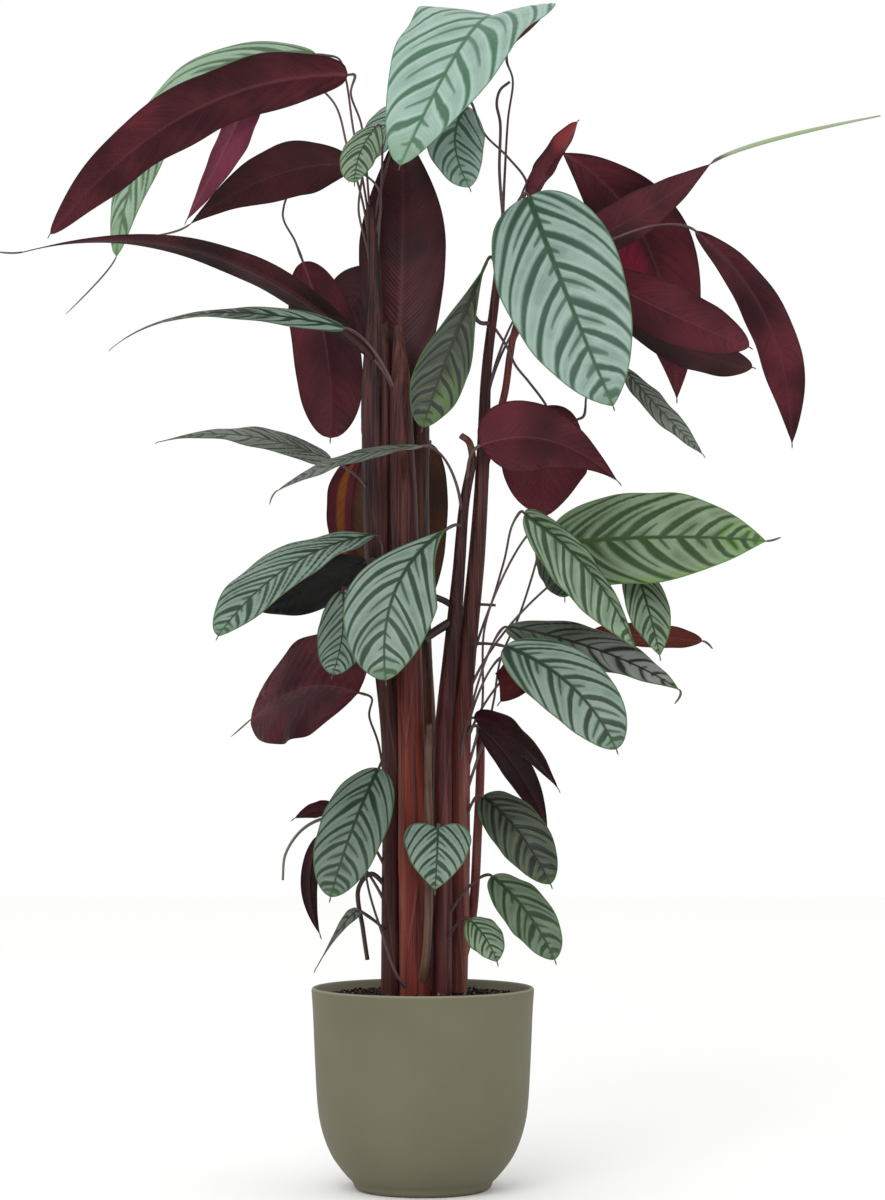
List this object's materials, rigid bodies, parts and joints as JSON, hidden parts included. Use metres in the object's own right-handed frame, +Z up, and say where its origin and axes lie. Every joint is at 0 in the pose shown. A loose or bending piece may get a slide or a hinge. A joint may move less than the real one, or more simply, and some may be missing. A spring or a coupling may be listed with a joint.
{
  "type": "potted never never plant",
  "caption": "Tall potted foliage plant: upright reddish canes with long-stalked, feather-striped silver-green leaves, burgundy beneath, in a plain round matt pot.",
  "frame": {"origin": "centre of the pot's flat underside, on the surface it stands on", "axes": "+Z up along the pot's axis; -Y is the side seen in the picture; +X to the right in that view"},
  "size_m": [1.0038, 0.4982, 1.3432],
  "materials": {
    "pot": "matt olive-grey glaze",
    "soil": "dark moist potting mix with pale specks",
    "cane": "reddish-brown sheathed stems and slim grey-red leaf stalks",
    "leaf_silver": "silvery mint leaf with dark green feather stripes, burgundy underside, satin",
    "leaf_green": "grey-green leaf with dark stripes, satin",
    "leaf_dark_green": "shaded dark green leaf with faint stripes, satin",
    "leaf_burgundy": "burgundy underside shown, striped green upper side, satin",
    "leaf_dark_burgundy": "near-black burgundy underside shown, satin",
    "leaf_magenta": "bright young red-magenta underside, satin",
    "leaf_brown": "old brown leaf, dull"
  },
  "bodies": {
    "root": {"pot": "pot", "soil": "soil", "cane_left": "cane", "cane_red": "cane", "cane_purple": "cane", "cane_right": "cane", "cane_back": "cane", "leaf_01": "leaf_burgundy", "leaf_02": "leaf_silver", "leaf_03": "leaf_magenta", "leaf_04": "leaf_dark_burgundy", "leaf_05": "leaf_burgundy", "leaf_06": "leaf_green", "leaf_07": "leaf_burgundy", "leaf_08": "leaf_dark_burgundy", "leaf_09": "leaf_silver", "leaf_10": "leaf_silver", "leaf_11": "leaf_silver", "leaf_12": "leaf_burgundy", "leaf_13": "leaf_dark_burgundy", "leaf_14": "leaf_burgundy", "leaf_15": "leaf_burgundy", "leaf_16": "leaf_dark_burgundy", "leaf_17": "leaf_burgundy", "leaf_18": "leaf_silver", "leaf_19": "leaf_green", "leaf_20": "leaf_dark_green", "leaf_21": "leaf_burgundy", "leaf_22": "leaf_burgundy", "leaf_23": "leaf_green", "leaf_24": "leaf_green", "leaf_25": "leaf_burgundy", "leaf_26": "leaf_silver", "leaf_27": "leaf_dark_green", "leaf_28": "leaf_silver", "leaf_29": "leaf_silver", "leaf_30": "leaf_burgundy", "leaf_31": "leaf_silver", "leaf_32": "leaf_green", "leaf_33": "leaf_silver", "leaf_34": "leaf_magenta", "leaf_35": "leaf_dark_green", "leaf_36": "leaf_silver", "leaf_37": "leaf_magenta", "leaf_38": "leaf_dark_burgundy", "leaf_39": "leaf_dark_burgundy", "leaf_40": "leaf_dark_green", "leaf_41": "leaf_green", "leaf_42": "leaf_green", "leaf_43": "leaf_silver", "leaf_44": "leaf_silver", "leaf_45": "leaf_dark_burgundy", "leaf_46": "leaf_dark_burgundy", "leaf_47": "leaf_green", "leaf_48": "leaf_dark_green", "leaf_49": "leaf_brown", "leaf_50": "leaf_silver", "leaf_51": "leaf_burgundy", "leaf_52": "leaf_silver", "leaf_53": "leaf_silver"}
  },
  "joints": []
}
